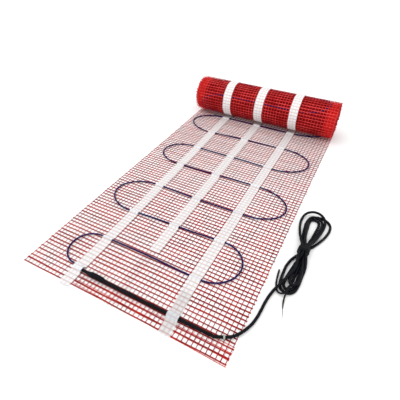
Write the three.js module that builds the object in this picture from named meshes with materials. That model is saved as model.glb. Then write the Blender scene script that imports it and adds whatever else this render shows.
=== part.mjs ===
// An electric underfloor heating mat: glass fibre net with a heating cable laid on it in loops,
// held by pairs of tapes, partly unrolled and with its cold lead folded into a hank beside it.
// Millimetres, +Z up. Places are measured from the mat's front left corner, +X across the mat
// and +Y along it towards the roll, and the group's position centres the mat on the origin.

import * as THREE from 'three';

// Net
const MAT_WIDTH = 500;
const WARP_PITCH = 10;
const WEFT_PITCH = 10.4;
const WARP_WIDTH = 1.6;
const WEFT_WIDTH = 2.4;
const STRAND_THICKNESS = 0.5;

// Tapes, and the clearance between any two pieces that touch on the real mat
const TAPE_WIDTH = 27;
const TAPE_THICKNESS = 0.3;
const CLEARANCE = 0.2;
const LEFT_TAPE_INSET = 122.5;
const MIDDLE_TAPE_X = 243.5;
const RIGHT_TAPE_INSET = 134.5;
const LEFT_TAPE_OVERHANG = 7;
const RIGHT_TAPE_OVERHANG = 3;
const MIDDLE_TOP_TAPE_START = 158;
const MIDDLE_BACKING_OVERHANG = 10;

// Roll: turns of mat wound on an open bore
const UNROLLED_LENGTH = 878;
const BORE_RADIUS = 17.6;
const TURN_COUNT = 12;
const TURN_PITCH = 3.7;
const TURN_GROOVE_DEPTH = 3;
const ROLL_SEGMENTS = 40;
const ROLL_TAPE_FRONT_ANGLE = 35;

// Heating cable
const CABLE_DIAMETER = 4;
const CABLE_SIDES = 8;
const CABLE_STEPS = 150;
const RUN_LEFT_Y = [141, 246, 370, 489, 602, 712, 835.5];
const RUN_RIGHT_Y = [137, 258, 367, 496, 598, 725, 835.5];
const LEFT_BEND_INSETS = [60, 26, 32, 18];
const RIGHT_BEND_INSETS = [55, 26, 26, 26];
const FIRST_BEND_FRONT_Y = 45;
const ROLLED_RUN_Y = 936.5;
const ROLL_BEND_POINTS = 3;

// Splice sleeve between the heating cable and the cold lead
const SLEEVE_Y = 34;
const SLEEVE_RADIUS = 5.25;
const SLEEVE_BULGE_RADIUS = 6.8;
const SLEEVE_LEAD_RADIUS = 3.7;
const SLEEVE_BULGE_START = 30;
const SLEEVE_BULGE_LENGTH = 28;
const SLEEVE_SHOULDER = 10;
const SLEEVE_PAST_TAPE = 76;
const SLEEVE_LEAD_TAPER = 50;
const SLEEVE_SIDES = 20;
const BAND_THICKNESS = 1.1;
const BAND_WIDTH = 5;
const BAND_PAST_SLEEVE = 22.5;
const BAND_CLEARANCE = 0.4;

// Cold lead, its hank, the tie round the hank's waist and the bare wire end
const LEAD_DIAMETER = 6.8;
const LEAD_SIDES = 10;
const LEAD_STEPS = 56;
const LEAD_REST_HEIGHT = 3.6;
const HANK_WAIST = { x: 551, y: 325, halfWidth: 10, halfLength: 9 };
const HANK_FAR_END = { x: 555, y: 433, radius: 36 };
const HANK_NEAR_END = { x: 544, y: 213, radius: 22 };
const HANK_HEIGHT = 16.6;
const TIE_WIDTH = 12;
const TIE_THICKNESS = 1.4;
const WIRE_END_START = { x: 551, y: 191.4 };
const WIRE_END_TIP = { x: 558, y: 136 };
const WIRE_END_RADIUS = 2.2;
const WIRE_TIP_RADIUS = 0.8;

// Heights of the layers, from the floor up
const warpBottom = TAPE_THICKNESS + CLEARANCE;
const weftBottom = warpBottom + STRAND_THICKNESS + CLEARANCE;
const netTop = weftBottom + STRAND_THICKNESS;
const cableRadius = CABLE_DIAMETER / 2;
const cableHeight = netTop + CLEARANCE + cableRadius;
const sleeveHeight = netTop + CLEARANCE + SLEEVE_BULGE_RADIUS;

// Roll sizes that follow from its turns
const rollRadius = BORE_RADIUS + TURN_COUNT * TURN_PITCH;
const rollTapeInner = rollRadius + CLEARANCE;
const rollTapeOuter = rollTapeInner + TAPE_THICKNESS;
const rollHeight = rollTapeOuter;

// How far along the mat something of the given height can reach before it meets a circle round the roll's axis
function reachToRoll(height, circleRadius) {
  const drop = rollHeight - height;
  return UNROLLED_LENGTH - Math.sqrt(circleRadius ** 2 - drop ** 2);
}

const flatLength = reachToRoll(netTop, rollTapeOuter + CLEARANCE);
const topTapeEnd = reachToRoll(netTop + CLEARANCE + TAPE_THICKNESS, rollTapeOuter + CLEARANCE);

const leftTapeX = LEFT_TAPE_INSET;
const rightTapeX = MAT_WIDTH - RIGHT_TAPE_INSET;
const halfTape = TAPE_WIDTH / 2;
const leftRunEnd = leftTapeX - halfTape;
const rightRunEnd = rightTapeX + halfTape;
const sleeveStart = leftTapeX + halfTape + CLEARANCE;
const sleeveEnd = rightRunEnd + SLEEVE_PAST_TAPE;

const frontY = -MIDDLE_BACKING_OVERHANG;
const backY = UNROLLED_LENGTH + rollTapeOuter;

const netMaterial = { color: 0xa5463c, roughness: 0.7, metalness: 0 };
const tapeMaterial = { color: 0xeef1f2, roughness: 0.6, metalness: 0 };
const cableMaterial = { color: 0x2a2340, roughness: 0.45, metalness: 0 };
const blackMaterial = { color: 0x161618, roughness: 0.5, metalness: 0 };

const mat = new THREE.Group();
mat.position.set(-MAT_WIDTH / 2, -(frontY + backY) / 2, 0);

function addPiece(name, geometry, finish) {
  const piece = new THREE.Mesh(geometry, new THREE.MeshStandardMaterial(finish));
  piece.name = name;
  mat.add(piece);
  return piece;
}

function rectangle(path, x0, y0, x1, y1) {
  path.moveTo(x0, y0);
  path.lineTo(x1, y0);
  path.lineTo(x1, y1);
  path.lineTo(x0, y1);
  path.closePath();
  return path;
}

// A flat layer cut into a grid by the x and y lines, solid only in the cells that isStrand picks
function gridLayer(xLines, yLines, isStrand) {
  const columns = xLines.length - 1;
  const rows = yLines.length - 1;
  const solid = (i, j) => i >= 0 && j >= 0 && i < columns && j < rows && isStrand(i, j);
  const positions = [];
  const addFace = (...corners) => {
    const [a, b, c, d] = corners.map(([i, j, z]) => [xLines[i], yLines[j], z]);
    positions.push(...a, ...b, ...c, ...a, ...c, ...d);
  };
  const top = STRAND_THICKNESS;
  for (let i = 0; i < columns; i += 1) {
    for (let j = 0; j < rows; j += 1) {
      if (!solid(i, j)) continue;
      addFace([i, j, top], [i + 1, j, top], [i + 1, j + 1, top], [i, j + 1, top]);
      addFace([i, j, 0], [i, j + 1, 0], [i + 1, j + 1, 0], [i + 1, j, 0]);
      if (!solid(i, j - 1)) addFace([i, j, 0], [i + 1, j, 0], [i + 1, j, top], [i, j, top]);
      if (!solid(i + 1, j)) addFace([i + 1, j, 0], [i + 1, j + 1, 0], [i + 1, j + 1, top], [i + 1, j, top]);
      if (!solid(i, j + 1)) addFace([i + 1, j + 1, 0], [i, j + 1, 0], [i, j + 1, top], [i + 1, j + 1, top]);
      if (!solid(i - 1, j)) addFace([i, j + 1, 0], [i, j, 0], [i, j, top], [i, j + 1, top]);
    }
  }
  const geometry = new THREE.BufferGeometry();
  geometry.setAttribute('position', new THREE.Float32BufferAttribute(positions, 3));
  geometry.computeVertexNormals();
  return geometry;
}

// Both edges of each strand of a set that fills the given length at about the given pitch
function strandEdges(length, pitch, width) {
  const cells = Math.round(length / pitch);
  const step = (length - width) / cells;
  const edges = [];
  for (let i = 0; i <= cells; i += 1) edges.push(i * step, i * step + width);
  return edges;
}

// Each set of strands is held together by the outermost strands that cross it
function addNet() {
  const warpEdges = strandEdges(MAT_WIDTH, WARP_PITCH, WARP_WIDTH);
  const weftEdges = strandEdges(flatLength, WEFT_PITCH, WEFT_WIDTH);
  const sides = [0, WARP_WIDTH, MAT_WIDTH - WARP_WIDTH, MAT_WIDTH];
  const ends = [0, WEFT_WIDTH, flatLength - WEFT_WIDTH, flatLength];
  const warp = gridLayer(warpEdges, ends, (i, j) => i % 2 === 0 || j !== 1);
  const weft = gridLayer(sides, weftEdges, (i, j) => j % 2 === 0 || i !== 1);
  addPiece('mesh_warp', warp, netMaterial).position.z = warpBottom;
  addPiece('mesh_weft', weft, netMaterial).position.z = weftBottom;
}

// An outline drawn along the mat and upwards, made as wide as a tape across the mat
function acrossMat(outline, width, curveSegments) {
  const geometry = new THREE.ExtrudeGeometry(outline, { depth: width, bevelEnabled: false, curveSegments });
  const across = new THREE.Vector3(1, 0, 0);
  const along = new THREE.Vector3(0, 1, 0);
  const upwards = new THREE.Vector3(0, 0, 1);
  return geometry.applyMatrix4(new THREE.Matrix4().makeBasis(along, upwards, across));
}

// Height of each run where it passes a tape, as a share of the way from the left tape to the right one
function runsUnderTape(tapeX) {
  const share = (tapeX - leftRunEnd) / (rightRunEnd - leftRunEnd);
  const places = RUN_LEFT_Y.map((leftY, run) => leftY + share * (RUN_RIGHT_Y[run] - leftY));
  return places.map((y) => ({ y, height: cableHeight + cableRadius, halfWidth: 1.9 * cableRadius }));
}

const SLOPE_LENGTH = 4;
const FIRST_BUMP_HALF_WIDTH = 7;

// A top tape lies on the net and is lifted over each thing that it holds down
function addTopTape(name, tapeX, startY, bumps) {
  const restHeight = netTop + CLEARANCE;
  const lower = [[startY, restHeight]];
  for (const bump of bumps) {
    const crest = bump.height + CLEARANCE;
    const slope = SLOPE_LENGTH * (crest - restHeight) / CABLE_DIAMETER;
    lower.push([bump.y - bump.halfWidth - slope, restHeight]);
    lower.push([bump.y - bump.halfWidth, crest]);
    lower.push([bump.y + bump.halfWidth, crest]);
    lower.push([bump.y + bump.halfWidth + slope, restHeight]);
  }
  lower.push([topTapeEnd, restHeight]);
  const upper = lower.map(([y, z]) => [y, z + TAPE_THICKNESS]).reverse();
  const outline = new THREE.Shape([...lower, ...upper].map(([y, z]) => new THREE.Vector2(y, z)));
  const tape = addPiece(name, acrossMat(outline, TAPE_WIDTH, 1), tapeMaterial);
  tape.position.x = tapeX - halfTape;
}

// The backing tape lies under the net and goes on round the outside of the roll
function addBackingTape(side, tapeX, startY) {
  const flat = rectangle(new THREE.Shape(), startY, 0, UNROLLED_LENGTH - CLEARANCE, TAPE_THICKNESS);
  const flatTape = addPiece(`backing_tape_${side}`, acrossMat(flat, TAPE_WIDTH, 1), tapeMaterial);
  flatTape.position.x = tapeX - halfTape;

  const start = -Math.PI / 2;
  const end = start + 2 * Math.PI - THREE.MathUtils.degToRad(ROLL_TAPE_FRONT_ANGLE);
  const band = new THREE.Shape();
  band.absarc(UNROLLED_LENGTH, rollHeight, rollTapeOuter, start, end, false);
  band.absarc(UNROLLED_LENGTH, rollHeight, rollTapeInner, end, start, true);
  band.closePath();
  const rollTape = addPiece(`roll_tape_${side}`, acrossMat(band, TAPE_WIDTH, ROLL_SEGMENTS), tapeMaterial);
  rollTape.position.x = tapeX - halfTape;
}

function addTapes() {
  const sleeveBump = { y: SLEEVE_Y, height: sleeveHeight + SLEEVE_RADIUS, halfWidth: SLEEVE_RADIUS };
  const firstBump = { y: (SLEEVE_Y + FIRST_BEND_FRONT_Y) / 2, height: sleeveHeight + cableRadius, halfWidth: FIRST_BUMP_HALF_WIDTH };
  addTopTape('tape_left', leftTapeX, -LEFT_TAPE_OVERHANG, [firstBump, ...runsUnderTape(leftTapeX)]);
  addTopTape('tape_middle', MIDDLE_TAPE_X, MIDDLE_TOP_TAPE_START, runsUnderTape(MIDDLE_TAPE_X).slice(1));
  addTopTape('tape_right', rightTapeX, -RIGHT_TAPE_OVERHANG, [sleeveBump, ...runsUnderTape(rightTapeX)]);
  addBackingTape('left', leftTapeX, 0);
  addBackingTape('middle', MIDDLE_TAPE_X, frontY);
  addBackingTape('right', rightTapeX, 0);
}

// A turned solid with its bore, each turn of the mat a ridge on both ends
function addRoll() {
  const profile = [];
  for (let turn = 0; turn < TURN_COUNT; turn += 1) {
    profile.push([BORE_RADIUS + turn * TURN_PITCH, MAT_WIDTH]);
    profile.push([BORE_RADIUS + (turn + 0.5) * TURN_PITCH, MAT_WIDTH - TURN_GROOVE_DEPTH]);
  }
  profile.push([rollRadius, MAT_WIDTH]);
  const nearEnd = profile.map(([radius, x]) => [radius, MAT_WIDTH - x]).reverse();
  const section = [...profile, ...nearEnd, profile[0]].reverse();
  const points = section.map(([radius, x]) => new THREE.Vector2(radius, x));
  const geometry = new THREE.LatheGeometry(points, ROLL_SEGMENTS);
  geometry.rotateZ(-Math.PI / 2);
  const roll = addPiece('mat_roll', geometry, netMaterial);
  roll.position.set(0, UNROLLED_LENGTH, rollHeight);
}

function polygon(radius, sides) {
  const shape = new THREE.Shape();
  for (let side = 0; side < sides; side += 1) {
    const angle = (2 * Math.PI * (side + 0.5)) / sides;
    const place = side === 0 ? 'moveTo' : 'lineTo';
    shape[place](radius * Math.cos(angle), radius * Math.sin(angle));
  }
  shape.closePath();
  return shape;
}

function smoothPath(route) {
  return new THREE.CatmullRomCurve3(route.map(([x, y, z]) => new THREE.Vector3(x, y, z)), false, 'centripetal');
}

function tube(route, radius, sides, steps) {
  const extrudePath = smoothPath(route);
  return new THREE.ExtrudeGeometry(polygon(radius, sides), { steps, extrudePath, bevelEnabled: false });
}

// Half an ellipse from one run to the next, bulging to the given x
function bend(startX, apexX, fromY, toY) {
  const points = [];
  const count = 10;
  for (let i = 0; i <= count; i += 1) {
    const angle = (Math.PI * i) / count;
    const x = startX + (apexX - startX) * Math.sin(angle);
    const y = (fromY + toY) / 2 - ((toY - fromY) / 2) * Math.cos(angle);
    points.push([x, y, cableHeight]);
  }
  return points;
}

function addHeatingCable() {
  const leftY = [FIRST_BEND_FRONT_Y, ...RUN_LEFT_Y];
  const rightY = [0, ...RUN_RIGHT_Y];
  const route = [
    [sleeveStart - CLEARANCE, SLEEVE_Y, sleeveHeight],
    [sleeveStart - CABLE_DIAMETER, SLEEVE_Y, sleeveHeight],
    [leftTapeX, (SLEEVE_Y + FIRST_BEND_FRONT_Y) / 2, (cableHeight + sleeveHeight) / 2],
  ];
  for (let run = 0; run < leftY.length - 1; run += 1) {
    const onLeft = run % 2 === 0;
    const side = Math.floor(run / 2);
    const middleX = (leftRunEnd + rightRunEnd) / 2;
    if (onLeft) {
      route.push(...bend(leftRunEnd, LEFT_BEND_INSETS[side], leftY[run], leftY[run + 1]));
    } else {
      route.push(...bend(rightRunEnd, MAT_WIDTH - RIGHT_BEND_INSETS[side], rightY[run], rightY[run + 1]));
    }
    route.push([middleX, (leftY[run + 1] + rightY[run + 1]) / 2, cableHeight]);
  }
  const lastRunY = RUN_RIGHT_Y.at(-1);
  const rollBend = bend(rightRunEnd, MAT_WIDTH - RIGHT_BEND_INSETS.at(-1), lastRunY, ROLLED_RUN_Y);
  route.push(...rollBend.slice(0, ROLL_BEND_POINTS));
  addPiece('heating_cable', tube(route, cableRadius, CABLE_SIDES, CABLE_STEPS), cableMaterial);
}

// Turned about an axis across the mat, from the sleeve's thin start to its lead end
function addSleeve() {
  const length = sleeveEnd - sleeveStart;
  const bulgeEnd = SLEEVE_BULGE_START + SLEEVE_BULGE_LENGTH;
  const section = [
    [0, 0],
    [cableRadius + CLEARANCE, 0],
    [SLEEVE_LEAD_RADIUS, SLEEVE_BULGE_START - SLEEVE_SHOULDER],
    [SLEEVE_BULGE_RADIUS, SLEEVE_BULGE_START],
    [SLEEVE_BULGE_RADIUS, bulgeEnd],
    [SLEEVE_RADIUS, bulgeEnd + SLEEVE_SHOULDER],
    [SLEEVE_RADIUS, length - SLEEVE_LEAD_TAPER],
    [SLEEVE_LEAD_RADIUS, length - SLEEVE_SHOULDER],
    [SLEEVE_LEAD_RADIUS, length],
    [0, length],
  ];
  const points = section.map(([radius, x]) => new THREE.Vector2(radius, x));
  const geometry = new THREE.LatheGeometry(points, SLEEVE_SIDES);
  geometry.rotateZ(-Math.PI / 2);
  const sleeve = addPiece('joint_sleeve', geometry, blackMaterial);
  sleeve.position.set(sleeveStart, SLEEVE_Y, sleeveHeight);
}

// The stretch of lead from the sleeve, over the net's edge and along the floor to the hank
function addLead() {
  const onNet = netTop + CLEARANCE + LEAD_DIAMETER / 2;
  const route = [
    [sleeveEnd + CLEARANCE, SLEEVE_Y, sleeveHeight],
    [sleeveEnd + CABLE_DIAMETER, SLEEVE_Y, sleeveHeight],
    [470, 38.8, 7.8],
    [477, 42.3, 7.1],
    [482, 45.3, 6.5],
    [487, 49, 5.9],
    [492, 53.8, onNet],
    [498, 61, onNet],
    [504, 71.5, 4.9],
    [509, 83, 4.2],
    [513, 95, LEAD_REST_HEIGHT],
    [516, 111, LEAD_REST_HEIGHT],
    [517.5, 130, LEAD_REST_HEIGHT],
    [518.5, 150, LEAD_REST_HEIGHT],
    [521, 170, LEAD_REST_HEIGHT],
    [524.5, 184, LEAD_REST_HEIGHT],
    [528.3, 195, LEAD_REST_HEIGHT],
  ];
  addPiece('cold_lead', tube(route, LEAD_DIAMETER / 2, LEAD_SIDES, LEAD_STEPS), blackMaterial);
  addBand(smoothPath(route));
}

// A ring round the lead, turned about the lead's own direction there
function addBand(leadPath) {
  const inner = LEAD_DIAMETER / 2 + BAND_CLEARANCE;
  const outer = inner + BAND_THICKNESS;
  const half = BAND_WIDTH / 2;
  const ring = [[inner, -half], [outer, -half], [outer, half], [inner, half], [inner, -half]];
  const ringPoints = ring.map(([radius, along]) => new THREE.Vector2(radius, along));
  const band = addPiece('lead_band', new THREE.LatheGeometry(ringPoints, SLEEVE_SIDES), tapeMaterial);
  const place = BAND_PAST_SLEEVE / leadPath.getLength();
  band.position.copy(leadPath.getPointAt(place));
  band.quaternion.setFromUnitVectors(new THREE.Vector3(0, 1, 0), leadPath.getTangentAt(place));
}

// Round ends joined to the waist by sides tangent to them
function addHank() {
  const { x, y, halfWidth, halfLength } = HANK_WAIST;
  const turn = (end, cornerX, cornerY, side) => {
    const dx = cornerX - end.x;
    const dy = cornerY - end.y;
    return Math.atan2(dy, dx) + side * Math.acos(end.radius / Math.hypot(dx, dy));
  };
  const farRight = turn(HANK_FAR_END, x + halfWidth, y + halfLength, 1);
  const farLeft = turn(HANK_FAR_END, x - halfWidth, y + halfLength, -1);
  const nearLeft = turn(HANK_NEAR_END, x - halfWidth, y - halfLength, 1);
  const nearRight = turn(HANK_NEAR_END, x + halfWidth, y - halfLength, -1);
  const outline = new THREE.Shape();
  outline.moveTo(x + halfWidth, y - halfLength);
  outline.lineTo(x + halfWidth, y + halfLength);
  outline.absarc(HANK_FAR_END.x, HANK_FAR_END.y, HANK_FAR_END.radius, farRight, farLeft, false);
  outline.lineTo(x - halfWidth, y + halfLength);
  outline.lineTo(x - halfWidth, y - halfLength);
  outline.absarc(HANK_NEAR_END.x, HANK_NEAR_END.y, HANK_NEAR_END.radius, nearLeft, nearRight, false);
  outline.closePath();
  const geometry = new THREE.ExtrudeGeometry(outline, { depth: HANK_HEIGHT, bevelEnabled: false, curveSegments: 18 });
  const hank = addPiece('lead_hank', geometry, blackMaterial);
  hank.position.z = TIE_THICKNESS + CLEARANCE;
}

function addHankTie() {
  const inner = HANK_WAIST.halfWidth + CLEARANCE;
  const outer = inner + TIE_THICKNESS;
  const top = TIE_THICKNESS + HANK_HEIGHT + 2 * CLEARANCE;
  const outline = rectangle(new THREE.Shape(), -outer, 0, outer, top + TIE_THICKNESS);
  outline.holes.push(rectangle(new THREE.Path(), -inner, TIE_THICKNESS, inner, top));
  const geometry = new THREE.ExtrudeGeometry(outline, { depth: TIE_WIDTH, bevelEnabled: false });
  geometry.rotateX(Math.PI / 2);
  const tie = addPiece('hank_tie', geometry, blackMaterial);
  tie.position.set(HANK_WAIST.x, HANK_WAIST.y + TIE_WIDTH / 2, 0);
}

// Bare conductors of the lead, stripped for connection
function addWireEnd() {
  const dx = WIRE_END_TIP.x - WIRE_END_START.x;
  const dy = WIRE_END_TIP.y - WIRE_END_START.y;
  const length = Math.hypot(dx, dy);
  const geometry = new THREE.CylinderGeometry(WIRE_TIP_RADIUS, WIRE_END_RADIUS, length, CABLE_SIDES);
  const wire = addPiece('lead_wire_end', geometry, blackMaterial);
  wire.rotation.z = Math.atan2(dy, dx) - Math.PI / 2;
  const middle = [(WIRE_END_START.x + WIRE_END_TIP.x) / 2, (WIRE_END_START.y + WIRE_END_TIP.y) / 2];
  wire.position.set(middle[0], middle[1], LEAD_REST_HEIGHT);
}

addNet();
addTapes();
addRoll();
addHeatingCable();
addSleeve();
addLead();
addHank();
addHankTie();
addWireEnd();

export default mat;
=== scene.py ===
# An electric underfloor heating mat, partly unrolled on a pale floor: a red glass fibre net,
# a dark heating cable laid on it in loops under white tapes, the rest of the mat in a roll,
# and a black lead folded into a hank beside it.

from math import cos, pi, radians, sin

import bpy
import numpy as np
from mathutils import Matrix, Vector


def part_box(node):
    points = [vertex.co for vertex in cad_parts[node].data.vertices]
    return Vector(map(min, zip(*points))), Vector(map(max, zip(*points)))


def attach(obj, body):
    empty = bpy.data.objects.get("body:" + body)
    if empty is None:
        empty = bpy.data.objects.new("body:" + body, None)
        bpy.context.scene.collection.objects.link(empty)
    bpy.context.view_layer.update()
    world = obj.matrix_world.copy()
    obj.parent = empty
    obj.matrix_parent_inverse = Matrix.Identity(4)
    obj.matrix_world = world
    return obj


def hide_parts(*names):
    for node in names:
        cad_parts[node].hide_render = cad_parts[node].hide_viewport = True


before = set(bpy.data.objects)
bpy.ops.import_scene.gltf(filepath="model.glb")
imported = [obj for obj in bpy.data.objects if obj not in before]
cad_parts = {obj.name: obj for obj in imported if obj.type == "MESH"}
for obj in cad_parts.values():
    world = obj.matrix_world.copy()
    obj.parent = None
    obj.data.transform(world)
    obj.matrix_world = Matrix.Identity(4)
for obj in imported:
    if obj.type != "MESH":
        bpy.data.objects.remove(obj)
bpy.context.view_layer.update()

# Camera
# It stands in front of the mat's right half and looks down along it, as the photograph does.
net_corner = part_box("mesh_warp")[0]
CAMERA_PLACE = (net_corner.x + 0.5848, net_corner.y - 0.2574, 0.6088)
CAMERA_PITCH = radians(90 - 40.56)
CAMERA_YAW = radians(27.94)
CAMERA_ROLL = radians(-0.11)
LENS = 30.89
SENSOR = 36.0
CLIP_START = 0.01

bpy.ops.object.camera_add(location=CAMERA_PLACE, rotation=(CAMERA_PITCH, CAMERA_ROLL, CAMERA_YAW))
camera = bpy.context.object
camera.data.sensor_width = SENSOR
camera.data.lens = LENS
camera.data.clip_start = CLIP_START
bpy.context.scene.camera = camera

# Studio
# A plain white floor, a bright even sky and one large soft light overhead.
FLOOR_SIZE = 14.0
FLOOR_WHITE = (0.95, 0.95, 0.95, 1)
FLOOR_ROUGHNESS = 0.9
SKY_WHITE = (1, 1, 1, 1)
SKY_STRENGTH = 1.16
KEY_ENERGY = 11.0
KEY_SIZE = 1.6
KEY_PLACE = (-0.5, -0.6, 2.2)
KEY_LEAN = (radians(-17), radians(-13), 0)

bpy.context.scene.view_settings.view_transform = "Standard"
bpy.ops.mesh.primitive_plane_add(size=FLOOR_SIZE, location=(0, 0, 0))
floor = bpy.context.object
floor.name = "studio_floor"
floor_paint = bpy.data.materials.new("studio_floor_paint")
floor_paint.use_nodes = True
floor_shader = floor_paint.node_tree.nodes["Principled BSDF"]
floor_shader.inputs["Base Color"].default_value = FLOOR_WHITE
floor_shader.inputs["Roughness"].default_value = FLOOR_ROUGHNESS
floor.data.materials.append(floor_paint)

sky = bpy.data.worlds.new("studio_sky")
sky.use_nodes = True
background = sky.node_tree.nodes["Background"]
background.inputs["Color"].default_value = SKY_WHITE
background.inputs["Strength"].default_value = SKY_STRENGTH
bpy.context.scene.world = sky

bpy.ops.object.light_add(type="AREA", location=KEY_PLACE, rotation=KEY_LEAN)
key = bpy.context.object
key.name = "studio_key"
key.data.shape = "DISK"
key.data.size = KEY_SIZE
key.data.energy = KEY_ENERGY


# Cold lead
# Black rubber-sheathed lead, from the splice sleeve over the net's edge to the floor, and
# folded there into a hank of four turns pinched at the waist. Its far end is stripped.
MM = 0.001
LEAD_DIAMETER = 6.4 * MM
LEAD_BLACK = (0.003, 0.003, 0.004)
LEAD_SHEEN = (0.009, 0.010, 0.014)


def on_floor(points):
    """Places measured in mm from the mat's left front corner, in the frame's metres."""
    return [(net_corner.x + x * MM, net_corner.y + y * MM, z * MM) for x, y, z in points]


class Value:
    """A number or colour inside a material, which Python's operators extend with Math nodes."""

    def __init__(self, finish, socket):
        self.finish = finish
        self.socket = socket

    def math(self, operation, first, second=0.0):
        return self.finish.node("ShaderNodeMath", {"operation": operation}, {0: first, 1: second})

    def __add__(self, other):
        return self.math("ADD", self, other)

    def __sub__(self, other):
        return self.math("SUBTRACT", self, other)

    def __rsub__(self, other):
        return self.math("SUBTRACT", other, self)

    def __mul__(self, other):
        return self.math("MULTIPLY", self, other)

    def __abs__(self):
        return self.math("ABSOLUTE", self)

    def sine(self):
        return self.math("SINE", self)

    def over(self, low, high):
        """0 below low and 1 above high, with a smooth step between."""
        settings = {"interpolation_type": "SMOOTHSTEP"}
        inputs = {"Value": self, "From Min": low, "From Max": high}
        return self.finish.node("ShaderNodeMapRange", settings, inputs)

    __radd__ = __add__
    __rmul__ = __mul__


class Finish:
    """A material with one Principled shader, its nodes added one call at a time."""

    def __init__(self, name, roughness, specular=0.06):
        self.material = bpy.data.materials.new(name)
        self.material.use_nodes = True
        self.tree = self.material.node_tree
        self.shader = self.tree.nodes["Principled BSDF"]
        self.shader.inputs["Roughness"].default_value = roughness
        self.shader.inputs["Specular IOR Level"].default_value = specular

    def node(self, kind, settings=None, inputs=None, output=0):
        made = self.tree.nodes.new(kind)
        for name, value in (settings or {}).items():
            setattr(made, name, value)
        for name, value in (inputs or {}).items():
            self.put(made.inputs[name], value)
        return Value(self, made.outputs[output])

    def put(self, socket, value):
        if isinstance(value, Value):
            self.tree.links.new(value.socket, socket)
        elif isinstance(value, tuple) and len(value) == 3 and socket.type == "RGBA":
            socket.default_value = (*value, 1)
        else:
            socket.default_value = value

    def object_place(self):
        return self.node("ShaderNodeTexCoord", output="Object")

    def parts(self, vector):
        split = self.tree.nodes.new("ShaderNodeSeparateXYZ")
        self.put(split.inputs[0], vector)
        return [Value(self, socket) for socket in split.outputs]

    def noise(self, scale, detail=3.0, vector=None):
        vector = vector or self.object_place()
        return self.node("ShaderNodeTexNoise", None, {"Vector": vector, "Scale": scale, "Detail": detail})

    def mix(self, share, first, second):
        inputs = {0: share, 6: first, 7: second}
        return self.node("ShaderNodeMix", {"data_type": "RGBA"}, inputs, output=2)

    def colour(self, value):
        self.put(self.shader.inputs["Base Color"], value)

    def roughness(self, value):
        self.put(self.shader.inputs["Roughness"], value)

    def bump(self, height, depth, strength=1.0):
        inputs = {"Height": height, "Distance": depth, "Strength": strength}
        self.put(self.shader.inputs["Normal"], self.node("ShaderNodeBump", None, inputs))

    def uneven(self, low, spread, scale):
        """Roughness that drifts between low and low + spread over the piece."""
        self.roughness(low + spread * self.noise(scale))

    def grain(self, scale, detail, depth):
        """Fine bumps, depth metres high."""
        self.bump(self.noise(scale, detail), depth)


def rubber():
    finish = Finish("lead_rubber", 0.42, 0.07)
    finish.colour(finish.mix(finish.noise(60), LEAD_BLACK, LEAD_SHEEN))
    finish.uneven(low=0.36, spread=0.16, scale=220)
    finish.grain(scale=900, detail=2, depth=0.00008)
    return finish.material


def cord_curve(name, points, diameter, sides=3):
    """A round cord through the points, as one open spline."""
    bpy.ops.curve.primitive_bezier_curve_add(enter_editmode=False, location=(0, 0, 0))
    cord = bpy.context.object
    cord.name = name
    cord.data.dimensions = "3D"
    cord.data.splines.clear()
    spline = cord.data.splines.new("BEZIER")
    spline.bezier_points.add(len(points) - 1)
    for knot, place in zip(spline.bezier_points, points):
        knot.co = place
        knot.handle_left_type = "AUTO"
        knot.handle_right_type = "AUTO"
    cord.data.bevel_depth = diameter / 2
    cord.data.bevel_resolution = sides
    cord.data.use_fill_caps = True
    return cord


LEAD_ROUTE = [
    (455.2, 34, 8.7),
    (459, 34, 8.7),
    (470, 38.8, 7.8),
    (477, 42.3, 7.1),
    (482, 45.3, 6.5),
    (487, 49, 5.9),
    (492, 53.8, 5.3),
    (498, 61, 5.3),
    (504, 71.5, 4.9),
    (509, 83, 4.2),
    (513, 95, 3.6),
    (516, 111, 3.6),
    (517.5, 130, 3.6),
    (518.5, 150, 3.6),
    (521, 170, 3.6),
    (524.5, 184, 5.6),
    (530.4, 197.3, 9.8),
    (535.2, 212, 10.9),
    (540, 226.5, 11.3),
    (544.8, 241, 11.8),
    (548, 255, 12.6),
    (547.6, 270, 14.6),
    (545.6, 280, 15.7),
    (543.8, 293, 15.8),
]
LEAD_END = [
    (552.2, 292, 3.6),
    (554, 275, 3.6),
    (553.6, 260, 3.6),
    (552.8, 240, 3.6),
    (552.6, 224, 3.6),
    (552, 213, 3.8),
    (551, 206.5, 6.8),
    (549.8, 200.5, 10),
    (549.2, 193, 10.6),
    (548.8, 184, 9.4),
]
# Each pass through the waist has its slot there: across from the middle, and its height.
WAIST_X = 551
WAIST_Y = (307, 325)
LOW_LEFT = (-6.9, 3.6)
LOW_MIDDLE = (0, 3.6)
LOW_RIGHT = (6.9, 3.6)
MID_LEFT = (-3.45, 9.6)
MID_RIGHT = (3.45, 9.6)
TOP_LEFT = (-6.9, 15.6)
TOP_MIDDLE = (0, 15.6)
TOP_RIGHT = (6.9, 15.6)
# A far lobe leaves the waist at a slot, goes out on one side and comes back on the other:
# slots out and back, x out and back, the far end's y, levels out and back, hump between.
FAR_LOBES = [
    (TOP_LEFT, TOP_RIGHT, 518.5, 575.5, 455, 3.6, 3.6, 8.5),
    (LOW_LEFT, LOW_RIGHT, 532.5, 590, 448.5, 3.6, 3.6, 0),
    (TOP_MIDDLE, MID_RIGHT, 536, 569.5, 441.5, 9.6, 3.6, 0),
    (MID_LEFT, LOW_MIDDLE, 539.5, 562, 434, 3.6, 3.6, 0),
]
SIDE_STEPS = (0.22, 0.45, 0.72)
ARC_STEPS = 6
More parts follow.
